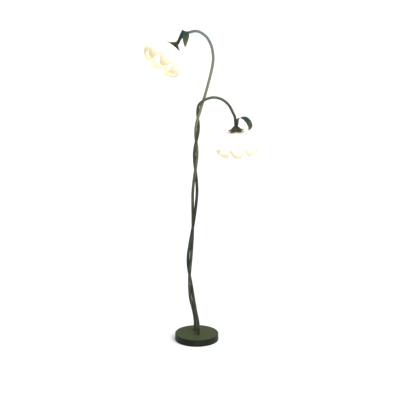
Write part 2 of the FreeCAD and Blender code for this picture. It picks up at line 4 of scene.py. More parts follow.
import bmesh
import bpy
from mathutils import Matrix, Vector


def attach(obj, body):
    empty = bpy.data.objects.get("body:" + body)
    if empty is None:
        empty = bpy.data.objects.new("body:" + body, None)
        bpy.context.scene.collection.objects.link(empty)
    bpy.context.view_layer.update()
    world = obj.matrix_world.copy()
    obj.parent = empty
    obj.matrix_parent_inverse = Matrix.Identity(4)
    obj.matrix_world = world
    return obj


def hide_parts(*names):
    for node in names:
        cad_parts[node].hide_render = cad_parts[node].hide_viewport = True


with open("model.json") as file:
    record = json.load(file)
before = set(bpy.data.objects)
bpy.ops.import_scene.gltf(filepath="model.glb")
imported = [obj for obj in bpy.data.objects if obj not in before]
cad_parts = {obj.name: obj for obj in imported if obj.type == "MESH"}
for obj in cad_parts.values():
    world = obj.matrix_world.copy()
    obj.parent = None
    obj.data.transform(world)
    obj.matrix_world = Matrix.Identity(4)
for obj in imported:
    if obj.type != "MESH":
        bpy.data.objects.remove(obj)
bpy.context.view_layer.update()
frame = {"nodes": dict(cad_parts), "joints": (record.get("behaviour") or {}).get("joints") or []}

# Flower floor lamp: the frame carries it, this script gives every piece its surface.
# Metres, +Z up, the viewer is at -Y.

nodes = frame["nodes"]
joints = {joint["name"]: joint for joint in frame["joints"]}
millimetre = 0.001
tiny = 1e-6           # lengths below this count as nothing
nudge = 0.01          # share of a curve to look ahead and behind by, for its direction


def hexColor(code):
    # sRGB hex to linear RGBA
    channels = [int(code[i:i + 2], 16) / 255 for i in (1, 3, 5)]
    linear = [c / 12.92 if c <= 0.04045 else ((c + 0.055) / 1.055) ** 2.4 for c in channels]
    return (*linear, 1.0)


def addNode(tree, kind, links=None, values=None, **settings):
    # one node with its settings, its fixed values and the sockets that feed it
    node = tree.nodes.new(kind)
    for key, value in settings.items():
        setattr(node, key, value)
    for key, value in (values or {}).items():
        node.inputs[key].default_value = value
    for key, socket in (links or {}).items():
        tree.links.new(socket, node.inputs[key])
    return node


def newMaterial(name, color, roughness, metallic=0.0, **sockets):
    material = bpy.data.materials.new(name)
    material.use_nodes = True
    tree = material.node_tree
    shader = tree.nodes["Principled BSDF"]
    shader.inputs["Base Color"].default_value = hexColor(color)
    shader.inputs["Roughness"].default_value = roughness
    shader.inputs["Metallic"].default_value = metallic
    for key, value in sockets.items():
        shader.inputs[key].default_value = value
    return material, tree, shader


def objectNoise(tree, sizeMm, detail=3.0, roughness=0.55, stretch=None):
    # noise whose patches are about sizeMm across, in the piece's own place
    place = addNode(tree, "ShaderNodeTexCoord").outputs["Object"]
    if stretch:
        mapping = addNode(tree, "ShaderNodeMapping", {"Vector": place}, {"Scale": stretch})
        place = mapping.outputs["Vector"]
    return addNode(tree, "ShaderNodeTexNoise", {"Vector": place},
                   {"Scale": 1 / (sizeMm * millimetre), "Detail": detail, "Roughness": roughness})


def ramp(tree, socket, stops):
    # colour from a factor, through stops of position and hex colour
    node = addNode(tree, "ShaderNodeValToRGB", {"Fac": socket})
    elements = node.color_ramp.elements
    while len(elements) < len(stops):
        elements.new(0.5)
    for element, (position, code) in zip(elements, stops):
        element.position = position
        element.color = hexColor(code)
    return node.outputs["Color"]


def mapRange(tree, socket, start, end, low=0.0, high=1.0):
    # start to end becomes low to high, held at both ends
    limits = {"From Min": start, "From Max": end, "To Min": low, "To Max": high}
    return addNode(tree, "ShaderNodeMapRange", {"Value": socket}, limits).outputs["Result"]


def calculate(tree, operation, socket, value=None, added=None):
    # one step of arithmetic on a socket; added is the third input of MULTIPLY_ADD
    links = {0: socket} if added is None else {0: socket, 2: added}
    values = {} if value is None else {1: value}
    return addNode(tree, "ShaderNodeMath", links, values, operation=operation).outputs[0]


def mixColor(tree, factor, first, second):
    node = addNode(tree, "ShaderNodeMix", data_type="RGBA")
    # inputs 0, 6 and 7 are the factor and the two colours of the RGBA mix
    for index, value in ((0, factor), (6, first), (7, second)):
        if isinstance(value, bpy.types.NodeSocket):
            tree.links.new(value, node.inputs[index])
        else:
            node.inputs[index].default_value = value
    return node.outputs[2]


def addBump(tree, shader, height, depthMm, strength):
    bump = addNode(tree, "ShaderNodeBump", {"Height": height},
                   {"Strength": strength, "Distance": depthMm * millimetre})
    tree.links.new(bump.outputs["Normal"], shader.inputs["Normal"])


def roughnessFrom(tree, shader, socket, low, high):
    tree.links.new(mapRange(tree, socket, 0.0, 1.0, low, high), shader.inputs["Roughness"])


# where the stems' enamel turns paler, in metres: it sets in at low, is at its full share by
# full, and its last tone is reached at high
paling = {"low": 0.6, "full": 1.2, "high": 1.55, "share": 0.85, "middle": 0.79}


def enamel(name, colors, roughness, grainMm, cloudMm, paintedTopLight=None, aloft=None, coat=0.12,
           specular=0.4):
    # sprayed and baked enamel on steel: fine orange peel, cloudy tone, soft highlights
    material, tree, shader = newMaterial(name, colors[1], roughness)
    shader.inputs["Coat Weight"].default_value = coat
    shader.inputs["Coat Roughness"].default_value = 0.25
    shader.inputs["Specular IOR Level"].default_value = specular
    clouds = objectNoise(tree, cloudMm, 4.0)
    color = ramp(tree, clouds.outputs["Fac"],
                 ((0.3, colors[0]), (0.5, colors[1]), (0.72, colors[2])))
    if aloft:
        # paler from the twist up to the arches, through three tones
        place = addNode(tree, "ShaderNodeTexCoord").outputs["Object"]
        height = addNode(tree, "ShaderNodeSeparateXYZ", {"Vector": place}).outputs["Z"]
        share = mapRange(tree, height, paling["low"], paling["full"], 0.0, paling["share"])
        climb = mapRange(tree, height, paling["low"], paling["high"])
        tones = ramp(tree, climb, ((0.0, aloft[0]), (paling["middle"], aloft[1]), (1.0, aloft[2])))
        color = mixColor(tree, share, color, tones)
    if paintedTopLight:
        # painted light: faces that look up are painted paler, as if lit from above
        normal = addNode(tree, "ShaderNodeNewGeometry").outputs["Normal"]
        upward = addNode(tree, "ShaderNodeSeparateXYZ", {"Vector": normal}).outputs["Z"]
        color = mixColor(tree, mapRange(tree, upward, 0.2, 0.95), color, hexColor(paintedTopLight))
    tree.links.new(color, shader.inputs["Base Color"])
    peel = objectNoise(tree, grainMm, 2.0)
    roughnessFrom(tree, shader, clouds.outputs["Fac"], roughness - 0.07, roughness + 0.1)
    addBump(tree, shader, peel.outputs["Fac"], 0.12, 0.45)
    return material


def opalGlass(name):
    # opal glass, blown in a petal mould: white body lit from inside, pale amber towards the petal
    # tips and the rim, and a painted warm glow round the neck
    material, tree, shader = newMaterial(name, "#fdfaf2", 0.24, IOR=1.5)
    shader.inputs["Coat Weight"].default_value = 0.25
    shader.inputs["Coat Roughness"].default_value = 0.1
    rim = addNode(tree, "ShaderNodeAttribute", attribute_name="rim").outputs["Fac"]
    streaks = objectNoise(tree, 26, 3.0)
    # the rim's share with a ragged edge, pulled back so that the body stays white
    ragged = calculate(tree, "MULTIPLY_ADD", streaks.outputs["Fac"], 0.4, rim)
    shifted = calculate(tree, "SUBTRACT", ragged, 0.22)
    body = ramp(tree, shifted,
                ((0.05, "#fffefb"), (0.3, "#ebe2c9"), (0.6, "#e6d5ae"), (1.0, "#dfc090")))
    tree.links.new(body, shader.inputs["Base Color"])
    glow = ramp(tree, shifted, ((0.05, "#fffdf6"), (0.4, "#fbeac6"), (1.0, "#f6cc98")))
    tree.links.new(glow, shader.inputs["Emission Color"])
    strength = mapRange(tree, shifted, 0.0, 0.32, 0.9, 0.09)
    tree.links.new(strength, shader.inputs["Emission Strength"])
    ripple = objectNoise(tree, 14, 2.0)
    addBump(tree, shader, ripple.outputs["Fac"], 0.5, 0.3)
    return material


# in metres: spacing of the leaf's side veins, how far they run towards the tip on their way to
# the edge, and where the tip is painted olive for the shade's warm light on it
blade = {"veinPitch": 7 * millimetre, "slant": -0.012, "tipLightStart": 0.105, "tipLightEnd": 0.165}


def leafEnamel(name):
    # green enamel over pressed sheet: side veins from the midrib to the edge, and the tip painted
    # olive for the shade's warm light on it
    material, tree, shader = newMaterial(name, "#2c4238", 0.4)
    shader.inputs["Specular IOR Level"].default_value = 0.2
    place = addNode(tree, "ShaderNodeUVMap", uv_map="blade").outputs["UV"]
    parts = addNode(tree, "ShaderNodeSeparateXYZ", {"Vector": place})
    across = calculate(tree, "ABSOLUTE", parts.outputs["X"])
    slant = calculate(tree, "MULTIPLY_ADD", across, blade["slant"], parts.outputs["Y"])
    turns = calculate(tree, "MULTIPLY", slant, 2 * math.pi / blade["veinPitch"])
    vein = mapRange(tree, calculate(tree, "COSINE", turns), 0.55, 1.0)
    clouds = objectNoise(tree, 22, 4.0)
    tone = ramp(tree, clouds.outputs["Fac"],
                ((0.3, "#1a2c22"), (0.5, "#243a30"), (0.72, "#2f483d")))
    # painted light: the blade turns olive towards its tip, for the shade's warm glow on it
    tip = mapRange(tree, parts.outputs["Y"], blade["tipLightStart"], blade["tipLightEnd"])
    color = mixColor(tree, tip, tone, hexColor("#5c5720"))
    edge = mapRange(tree, across, 0.8, 1.0)
    color = mixColor(tree, edge, color, hexColor("#151f14"))
    faint = calculate(tree, "MULTIPLY", vein, 0.5)
    color = mixColor(tree, faint, color, hexColor("#3d5548"))
    tree.links.new(color, shader.inputs["Base Color"])
    addBump(tree, shader, vein, 0.4, 0.5)
    return material


def metal(name, color, roughness, brushMm=0.8):
    # plain metal with fine turning marks
    material, tree, shader = newMaterial(name, color, roughness, 1.0)
    marks = objectNoise(tree, brushMm, 2.0, stretch=(1, 1, 6))
    roughnessFrom(tree, shader, marks.outputs["Fac"], roughness - 0.08, roughness + 0.12)
    addBump(tree, shader, marks.outputs["Fac"], 0.05, 0.3)
    return material


def moulded(name, colors, roughness, grainMm=0.9, bumpMm=0.06):
    # moulded plastic, rubber, cast iron or fired ceramic: fine grain and a slight cloud in the tone
    material, tree, shader = newMaterial(name, colors[0], roughness)
    clouds = objectNoise(tree, 9, 3.0)
    tone = ramp(tree, clouds.outputs["Fac"], ((0.35, colors[0]), (0.7, colors[1])))
    tree.links.new(tone, shader.inputs["Base Color"])
    grain = objectNoise(tree, grainMm, 2.0)
    addBump(tree, shader, grain.outputs["Fac"], bumpMm, 0.4)
    return material


def bulbGlass(name):
    # frosted lamp glass, glowing all over
    material, tree, shader = newMaterial(name, "#fffaf0", 0.35, IOR=1.5)
    frost = objectNoise(tree, 1.5, 2.0)
    glow = ramp(tree, frost.outputs["Fac"], ((0.2, "#fff0d2"), (0.8, "#fff8e8")))
    tree.links.new(glow, shader.inputs["Emission Color"])
    shader.inputs["Emission Strength"].default_value = 3.0
    return material


def glowing(name, color, strength):
    # coated filament rods, lit
    material, tree, shader = newMaterial(name, color, 0.6)
    grain = objectNoise(tree, 0.8)
    glow = ramp(tree, grain.outputs["Fac"], ((0.3, color), (0.7, "#fff3d0")))
    tree.links.new(glow, shader.inputs["Emission Color"])
    shader.inputs["Emission Strength"].default_value = strength
    return material


def pressedFelt(name):
    # black wool felt: short fibres with a soft sheen
    material, tree, shader = newMaterial(name, "#191918", 0.95)
    shader.inputs["Sheen Weight"].default_value = 0.4
    fibres = objectNoise(tree, 0.7, 5.0, 0.7)
    tone = ramp(tree, fibres.outputs["Fac"], ((0.3, "#0f0f0f"), (0.7, "#2b2b29")))
    tree.links.new(tone, shader.inputs["Base Color"])
    addBump(tree, shader, fibres.outputs["Fac"], 0.4, 0.7)
    return material


def makeMaterials():
    # the paler colour for upward faces of the stems and the base is painted light from above
    stem = {"roughness": 0.42, "grainMm": 1.4, "cloudMm": 26, "paintedTopLight": "#65736b", "coat": 0.0,
            "specular": 0.25}
    return {
        "upperStemEnamel": enamel("upperStemEnamel", ("#232a1c", "#323a2b", "#48513e"),
                                  aloft=("#5a5a42", "#828166", "#6d7b73"), **stem),
        "lowerStemEnamel": enamel("lowerStemEnamel", ("#181f13", "#262e1f", "#384030"),
                                  aloft=("#2e3424", "#4b5240", "#4b5240"), **stem),
        "baseEnamel": enamel("baseEnamel", ("#0f150a", "#151d10", "#1d2719"), 0.5, 1.1, 34,
                             paintedTopLight="#3f472b", coat=0.0, specular=0.15),
        "calyxEnamel": enamel("calyxEnamel", ("#272a10", "#3a3d1b", "#565428"), 0.4, 1.2, 15),
        "leafEnamel": leafEnamel("leafEnamel"),
        "opalGlass": opalGlass("opalGlass"),
        "bulbGlass": bulbGlass("bulbGlass"),
        "filamentCoat": glowing("filamentCoat", "#ffc861", 4.0),
        "zincSteel": metal("zincSteel", "#b4b2a8", 0.34),
        "castIron": moulded("castIron", ("#262626", "#343332"), 0.72, 2.0, 0.3),
        "lampAluminium": metal("lampAluminium", "#c9c9c7", 0.28),
        "pressedBrass": metal("pressedBrass", "#c8a556", 0.3),
        "phenolicBlack": moulded("phenolicBlack", ("#141413", "#1f1f1d"), 0.38),
        "steatite": moulded("steatite", ("#e6e1d3", "#d8d1bf"), 0.55),
        "siliconeWhite": moulded("siliconeWhite", ("#d6d3c8", "#c9c5b8"), 0.6),
        "epdmBlack": moulded("epdmBlack", ("#101010", "#1b1b1b"), 0.7),
        "nylonWhite": moulded("nylonWhite", ("#e3e1d8", "#d5d2c6"), 0.45),
        "wireSleeve": moulded("wireSleeve", ("#151514", "#20201e"), 0.5),
        "pressedFelt": pressedFelt("pressedFelt"),
    }


def addPiece(name, mesh, merge=0.0, outwards=True, smooth=True):
    # object from a mesh, with points nearer than merge made one and normals turned outwards
    work = bmesh.new()
    work.from_mesh(mesh)
    if merge:
        bmesh.ops.remove_doubles(work, verts=work.verts, dist=merge)
    if outwards:
        bmesh.ops.recalc_face_normals(work, faces=work.faces)
    work.to_mesh(mesh)
    work.free()
    for polygon in mesh.polygons:
        polygon.use_smooth = smooth
    piece = bpy.data.objects.new(name, mesh)
    bpy.context.scene.collection.objects.link(piece)
    return piece


def meshPiece(name, verts, faces, smooth=True):
    mesh = bpy.data.meshes.new(name)
    mesh.from_pydata([tuple(v) for v in verts], [], faces)
    mesh.validate()
    return addPiece(name, mesh, merge=tiny, smooth=smooth)


def ringFaces(rowCount, columnCount, closeRows):
    # quads between rows that are each a closed ring of points
    faces = []
    for row in range(rowCount if closeRows else rowCount - 1):
        after = (row + 1) % rowCount
        for column in range(columnCount):
            beside = (column + 1) % columnCount
            faces.append((row * columnCount + column, row * columnCount + beside,
                          after * columnCount + beside, after * columnCount + column))
    return faces


def lathe(name, outline, segments, closed=True):
    # turned piece about Z from (radius, height) points
    verts = []
    for radius, height in outline:
        for i in range(segments):
            angle = 2 * math.pi * i / segments
            verts.append((radius * math.cos(angle), radius * math.sin(angle), height))
    return meshPiece(name, verts, ringFaces(len(outline), segments, closed))


def roundedOutline(points, radius, steps=4):
    # closed outline with each corner turned over a radius, skipping corners on the axis
    outline = []
    sideShare = 0.45      # most of a side that one corner may take
    count = len(points)
    for i, (r, z) in enumerate(points):
        here = Vector((r, z))
        before = Vector(points[i - 1]) - here
        after = Vector(points[(i + 1) % count]) - here
        reach = min(radius, before.length * sideShare, after.length * sideShare)
        if r < tiny or reach < tiny:
            outline.append((r, z))
            continue
        start, end = here + before.normalized() * reach, here + after.normalized() * reach
        for k in range(steps + 1):
            t = k / steps
            point = start.lerp(here, t).lerp(here.lerp(end, t), t)
            outline.append((point.x, point.y))
    return outline


def toMetres(outline):
    return [(r * millimetre, z * millimetre) for r, z in outline]


def smoothRow(rows, t):
    # values at t from 0 to 1 along rows, on a smooth curve through them
    last = len(rows) - 1
    x = min(max(t, 0.0), 1.0) * last
    i = min(int(x), last - 1)
    x -= i
    a, b = rows[i], rows[i + 1]
    before = rows[i - 1] if i else [2 * p - q for p, q in zip(a, b)]
    after = rows[i + 2] if i + 2 <= last else [2 * q - p for p, q in zip(a, b)]
    return [0.5 * (2 * p + (q - o) * x + (2 * o - 5 * p + 4 * q - n) * x ** 2
                   + (3 * p - o - 3 * q + n) * x ** 3)
            for o, p, q, n in zip(before, a, b, after)]


def finishPiece(piece, material, body, slot, *replaced):
    # material, body and the frame's nodes that the piece stands for; slot is not used
    piece.data.materials.clear()
    piece.data.materials.append(material)
    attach(piece, body)
    if replaced:
        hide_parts(*replaced)


def autoSmooth(piece, degrees=35):
    # flat across sharp corners, smooth elsewhere
    piece.data.set_sharp_from_angle(angle=math.radians(degrees))


def sealedCopy(name, node):
    # the frame's own shape with its loose triangles merged, so that it shades smoothly
    mesh = nodes[node].data.copy()
    mesh.name = name
    return addPiece(name, mesh, merge=2 * tiny, outwards=False)


def nodeGroup(name, *inputs):
    # empty node tree with one geometry output and the named inputs
    tree = bpy.data.node_groups.new(name, "GeometryNodeTree")
    tree.interface.new_socket("Geometry", in_out="OUTPUT", socket_type="NodeSocketGeometry")
    for label, kind in inputs:
        tree.interface.new_socket(label, in_out="INPUT", socket_type=kind)
    return tree, addNode(tree, "NodeGroupInput").outputs


def endGroup(tree, geometry, material):
    # one mesh with its material, as the tree's output
    whole = addNode(tree, "GeometryNodeRealizeInstances", {"Geometry": geometry})
    painted = addNode(tree, "GeometryNodeSetMaterial",
                      {"Geometry": whole.outputs["Geometry"], "Material": material})
    addNode(tree, "NodeGroupOutput", {"Geometry": painted.outputs["Geometry"]})


def threadGroup():
    # round thread wound upwards from the piece's own origin
    tree, given = nodeGroup("windThread", ("Radius", "NodeSocketFloat"),
                            ("Height", "NodeSocketFloat"), ("Turns", "NodeSocketFloat"),
                            ("Depth", "NodeSocketFloat"), ("Material", "NodeSocketMaterial"))
    path = addNode(tree, "GeometryNodeCurveSpiral",
                   {"Rotations": given["Turns"], "Start Radius": given["Radius"],
                    "End Radius": given["Radius"], "Height": given["Height"]}, {"Resolution": 64})
    wire = addNode(tree, "GeometryNodeCurvePrimitiveCircle", {"Radius": given["Depth"]},
                   {"Resolution": 8}, mode="RADIUS")
    wound = addNode(tree, "GeometryNodeCurveToMesh",
                    {"Curve": path.outputs["Curve"], "Profile Curve": wire.outputs["Curve"]},
                    {"Fill Caps": True})
    endGroup(tree, wound.outputs["Mesh"], given["Material"])
    return tree


def ribGroup():
    # upright round ribs spaced round the axis, centred on the piece's own origin
    tree, given = nodeGroup("spaceRibs", ("Radius", "NodeSocketFloat"), ("Count", "NodeSocketInt"),
                            ("Rib", "NodeSocketFloat"), ("Height", "NodeSocketFloat"),
                            ("Material", "NodeSocketMaterial"))
    places = addNode(tree, "GeometryNodeMeshCircle",
                     {"Vertices": given["Count"], "Radius": given["Radius"]})
    rib = addNode(tree, "GeometryNodeMeshCylinder",
                  {"Radius": given["Rib"], "Depth": given["Height"]}, {"Vertices": 12})
    spread = addNode(tree, "GeometryNodeInstanceOnPoints",
                     {"Points": places.outputs["Mesh"], "Instance": rib.outputs["Mesh"]})
    endGroup(tree, spread.outputs["Instances"], given["Material"])
    return tree


def groupPiece(name, tree, height, **values):
    # the group's geometry as a plain mesh, moved up to a height
    piece = bpy.data.objects.new(name, bpy.data.meshes.new(name))
    bpy.context.scene.collection.objects.link(piece)
    modifier = piece.modifiers.new("build", "NODES")
    modifier.node_group = tree
    for item in tree.interface.items_tree:
        if item.in_out == "INPUT":
            modifier[item.identifier] = values[item.name]
    ready = piece.evaluated_get(bpy.context.evaluated_depsgraph_get())
    mesh = bpy.data.meshes.new_from_object(ready)
    piece.modifiers.clear()
    piece.data = mesh
    for polygon in mesh.polygons:
        polygon.use_smooth = True
    autoSmooth(piece)
    return settle(piece, Matrix.Translation((0, 0, height)))


# degrees that the sepals and the petals are turned by about each flower head's own axis
headTurns = {
    "upper": {"sepals": 18.0, "petals": -92.0},
    "lower": {"sepals": 18.0, "petals": -90.0},
}
bulbPointDepth = 84.6 * millimetre    # the bulb joint's point below the calyx top


def headMatrix(head, turn=0.0, axis=None):
    # a head's own axes, from its bulb's joint: Z up its axis, origin at the calyx top
    joint = joints[head + "_bulb_turn"]
    own = Vector(joint["axis"]).normalized()
    top = Vector(joint["pos_m"]) + own * bulbPointDepth
    axis = axis or own
    side = Vector((axis.z, 0, -axis.x)).normalized()
    back = axis.cross(side)
    matrix = Matrix((side, back, axis)).transposed().to_4x4()
    matrix.translation = top
    return matrix @ Matrix.Rotation(math.radians(turn), 4, "Z")


def settle(piece, matrix):
    # put the place into the mesh, so that the object stays at the origin
    piece.data.transform(matrix)
    piece.data.update()
    return piece


shadeSizes = {
    "petals": 8,
    "wall": 3.4 * millimetre,
    "neckDepth": 23.2 * millimetre,      # shade's neck below the calyx top
    "notch": 38.0 * millimetre,
    "notchHalf": 22.0 * millimetre,      # half width of a notch at the tips
    "tipRound": 5.0 * millimetre,
    "aroundPerPetal": 40,
    "along": 52,
    "alongPower": 0.9,                   # under 1 packs the rows towards the rim
    "rimSteps": 5,
    "searchFrom": 0.3,                   # share of the outline that is glass all round
    "searchSteps": 26,                   # halvings when the rim is looked for beyond it
    "creaseBlur": 0.0004,                # rounds the bottom of the creases between petals
    # radius and depth below the neck in mm, and crease depth, through the middle of a petal
    "outline": [(14.7, 0.0, 0.0), (25.0, 0.3, 0.0), (42.0, 4.0, 0.0), (63.0, 15.0, 0.03),
                (82.0, 33.0, 0.08), (95.8, 55.0, 0.13), (103.8, 75.0, 0.17), (106.8, 92.0, 0.20),
                (101.2, 108.0, 0.20), (88.8, 119.0, 0.17), (72.5, 123.8, 0.12)],
    # amber tint: how far it reaches up from the petal tips, in from the rim and out from the
    # neck, the share of each, and its strength on each head
    # round the neck the tint is painted glow of the lit glass beside the calyx; the stronger tint on
    # the upper head is painted light, as both shades are the same glass
    "tipBand": 66.0 * millimetre,
    "rimBand": 40.0 * millimetre,
    "neckRadius": 42.0 * millimetre,
    "neckBand": 14.0 * millimetre,
    "tipShare": 0.7,
    "rimShare": 0.3,
    "neckGlowShare": 0.45,
    "tint": {"upper": 0.95, "lower": 0.8},
}


def shadePoint(t, angle):
    # a point of the outer face at t along a petal's outline, in metres
    radius, depth, crease = smoothRow(shadeSizes["outline"], t)
    wave = abs(math.cos(angle * shadeSizes["petals"] / 2))
    lobe = math.sqrt(math.sqrt(wave ** 2 + shadeSizes["creaseBlur"]))
    reach = radius * millimetre * (1 - max(crease, 0) * (1 - min(lobe, 1.0)))
    return reach, -shadeSizes["neckDepth"] - depth * millimetre


def rimEnd(angle):
    # how far along the outline the glass reaches: all the way at a petal's tip, less in the
    # wedge between two petals, with the corners rounded off
    sizes = shadeSizes
    pitch = 2 * math.pi / sizes["petals"]
    offset = abs((angle / pitch) % 1.0 - 0.5) * pitch     # angle from the nearest notch
    lowest = -sizes["neckDepth"] - sizes["outline"][-1][1] * millimetre
    low, high = sizes["searchFrom"], 1.0
    for _ in range(sizes["searchSteps"]):
        middle = (low + high) / 2
        reach, height = shadePoint(middle, angle)
        climb = sizes["notch"] * (1 - reach * math.sin(offset) / sizes["notchHalf"])
        climb = (climb + math.hypot(climb, sizes["tipRound"])) / 2
        if height - lowest > climb:
            low = middle
        else:
            high = middle
    return (low + high) / 2


def makeShade(head, materials):
    sizes = shadeSizes
    around = sizes["petals"] * sizes["aroundPerPetal"]
    lowest = -sizes["neckDepth"] - sizes["outline"][-1][1] * millimetre
    along, rimSteps, wall = sizes["along"], sizes["rimSteps"], sizes["wall"]
    columns, rims = [], []
    for i in range(around):
        angle = 2 * math.pi * i / around
        end = rimEnd(angle)
        outer, inner = [], []
        for j in range(along + 1):
            t = end * (j / along) ** sizes["alongPower"]
            here = Vector(shadePoint(t, angle))
            ahead = Vector(shadePoint(min(t + nudge, 1.0), angle))
            behind = Vector(shadePoint(max(t - nudge, 0.0), angle))
            run = (ahead - behind).normalized()
            inward = Vector((run.y, -run.x))
            outer.append(here)
            inner.append(here + inward * wall)
        # round the rim from the outer to the inner face
        middle = (outer[-1] + inner[-1]) / 2
        half = (outer[-1] - inner[-1]) / 2
        out = Vector((-half.y, half.x))
        if out.dot(outer[-1] - outer[-2]) < 0:
            out = -out
        turns = [math.pi * k / rimSteps for k in range(1, rimSteps)]
        bead = [middle + half * math.cos(turn) + out * math.sin(turn) for turn in turns]
        columns.append((angle, outer + bead + inner[::-1]))
        # the tint of each point of this side, from the rim back to the neck
        side = []
        left = 0.0
        after = outer[-1]
        for point in outer[::-1]:
            left += (point - after).length
            after = point
            tips = max(0.0, 1 - (point.y - lowest) / sizes["tipBand"])
            edge = max(0.0, 1 - left / sizes["rimBand"])
            # painted glow: a warm band round the neck, for the lit glass beside the calyx
            neck = min(1.0, max(0.0, 1 - (point.x - sizes["neckRadius"]) / sizes["neckBand"]))
            amber = sizes["tipShare"] * tips + sizes["rimShare"] * edge
            side.append(max(amber, sizes["neckGlowShare"] * neck) * sizes["tint"][head])
        rims.append(side[::-1] + side[:1] * (rimSteps - 1) + side)
    rowCount = len(columns[0][1])
    verts = []
    for row in range(rowCount):
        for angle, profile in columns:
            point = profile[row]
            verts.append((point.x * math.cos(angle), point.x * math.sin(angle), point.y))
    mesh = bpy.data.meshes.new(head + "Shade")
    mesh.from_pydata(verts, [], ringFaces(rowCount, around, True))
    rim = mesh.attributes.new("rim", "FLOAT", "POINT")
    values = [rims[column][row] for row in range(rowCount) for column in range(around)]
    rim.data.foreach_set("value", values)
    piece = addPiece(head + "Shade", mesh)
    settle(piece, headMatrix(head, headTurns[head]["petals"]))
    finishPiece(piece, materials["opalGlass"], "lamp", "opal_glass", head + "_shade")


# lengths in mm
leafSizes = {
    "thickness": 1.4,
    "edgeThinning": 0.35,                # share of the thickness that is gone at the edges
    "crease": 3.2,                       # how far the blade folds up from its midrib
    "creasePower": 0.85,
    "sag": 0.12,                         # how far each half sags between midrib and edge, in creases
    "ripple": 0.3,
    "rippleLength": 9,                   # half a wave of the rippled edge
    "tabRadius": 11.6,
    "tabEdge": 0.3,
    "tabSegments": 48,
    "holeRadius": 5.7,
    "stations": 72,
    "across": 14,
    # a blade's tilt and turn in degrees, and its midrib as distance from the axis, height over
    # the calyx top and width of the blade; the first row lies on the tab, in the head's own axes
    "upper": {"tilt": 22.0, "turn": -61.0, "midrib": [
        (10.5, 0.4, 12.0), (13.0, 22.0, 17.0), (17.5, 46.0, 22.0), (23.0, 64.0, 26.0),
        (29.0, 75.5, 31.0), (38.0, 76.0, 35.0), (50.0, 61.0, 37.0), (64.0, 37.0, 28.0),
        (87.0, 12.0, 2.4)]},
    "lower": {"tilt": -4.6, "turn": -42.0, "midrib": [
        (10.5, 0.4, 11.0), (14.0, 16.0, 15.0), (17.0, 33.0, 22.0), (31.0, 46.0, 30.0),
        (57.0, 48.0, 36.0), (80.0, 35.0, 38.0), (93.0, 14.0, 33.0), (91.0, -1.0, 24.0),
        (82.0, -12.0, 6.0)]},
}


def makeLeaf(head, materials):
    sizes, own = leafSizes, leafSizes[head]
    stations, across, midrib = sizes["stations"], sizes["across"], own["midrib"]
    widest = max(row[2] for row in midrib)
    tilt = math.radians(own["tilt"])
    rooted = headMatrix(head, own["turn"])
    bent = headMatrix(head, own["turn"], Vector((math.sin(tilt), 0, math.cos(tilt))))
    verts, coordinates, travelled = [], [], 0.0
    previous = None
    for i in range(stations + 1):
        t = i / stations
        r, z, width = smoothRow(midrib, t)
        ahead = smoothRow(midrib, min(t + nudge, 1.0))
        behind = smoothRow(midrib, max(t - nudge, 0.0))
        along = Vector((ahead[0] - behind[0], 0, ahead[1] - behind[1])).normalized()
        inward = Vector((-along.z, 0, along.x))
        centre = Vector((r, 0, z))
        if previous:
            travelled += (centre - previous).length
        previous = centre
        # the root stands on the tab, the rest keeps the blade's own tilt
        share = min(1.0, t * (len(midrib) - 1))
        share = share * share * (3 - 2 * share)
        face, back = [], []
        for k in range(across + 1):
            v = 2 * k / across - 1
            # the blade folds up from a sunk midrib and each half sags a little
            fold = abs(v) ** sizes["creasePower"] - sizes["sag"] * math.sin(math.pi * abs(v))
            rise = sizes["crease"] * width / widest * fold
            wave = math.sin(travelled / sizes["rippleLength"] * math.pi)
            ripple = sizes["ripple"] * wave * abs(v) ** 3 * width / widest
            point = centre + Vector((0, v * width / 2, 0)) + inward * (rise + ripple)
            thin = sizes["thickness"] * (1 - sizes["edgeThinning"] * abs(v) ** 4)
            place = (v, travelled * millimetre)
            face.append((point, place))
            back.append((point - inward * thin, place))
        for point, place in face + back[::-1]:
            point = point * millimetre
            verts.append((rooted @ point).lerp(bent @ point, share))
            coordinates.append(place)
    ring = 2 * (across + 1)
    faces = ringFaces(stations + 1, ring, False)
    for start in (0, stations * ring):
        for k in range(across):
            faces.append((start + k, start + k + 1, start + ring - 2 - k, start + ring - 1 - k))
    mesh = bpy.data.meshes.new(head + "Leaf")
    mesh.from_pydata([tuple(v) for v in verts], [], faces)
    uv = mesh.uv_layers.new(name="blade")
    for loop in mesh.loops:
        uv.data[loop.index].uv = coordinates[loop.vertex_index]
    piece = addPiece(head + "Leaf", mesh)
    autoSmooth(piece, 50)
    hole, rim, top = sizes["holeRadius"], sizes["tabRadius"], sizes["thickness"]
    section = roundedOutline([(hole, 0), (rim, 0), (rim, top), (hole, top)], sizes["tabEdge"])
    tab = lathe(head + "LeafTab", toMetres(section), sizes["tabSegments"])
    settle(tab, rooted)
    finishPiece(piece, materials["leafEnamel"], "lamp", "leaf_enamel", head + "_leaf")
    finishPiece(tab, materials["calyxEnamel"], "lamp", "leaf_enamel")


# lengths in mm
calyxSizes = {
    "sepals": 5,
    "sepalPower": 1.2,                   # over 1 makes the sepals' tips blunter
    "ridge": 1.0,                        # height of the ridge along a sepal's middle
    "curl": 1.4,                         # how far a sepal's tip curls up
    "wall": 1.2,
    "wallSlant": 0.3,                    # how far the inner face lies inwards, in walls
    "cupRadius": 27.0,
    "tipRadius": 42.3,
    "holeRadius": 5.73,
    "around": 200,
    "along": 26,
    "searchSteps": 20,                   # halvings when a radius is looked for on the outline
    # outline as radius and depth below the top
    "outline": [(5.73, 0.0), (10.0, 0.0), (14.0, 2.5), (18.5, 6.5), (23.0, 11.0), (28.5, 16.0),
                (35.0, 19.0), (42.5, 21.0)],
}


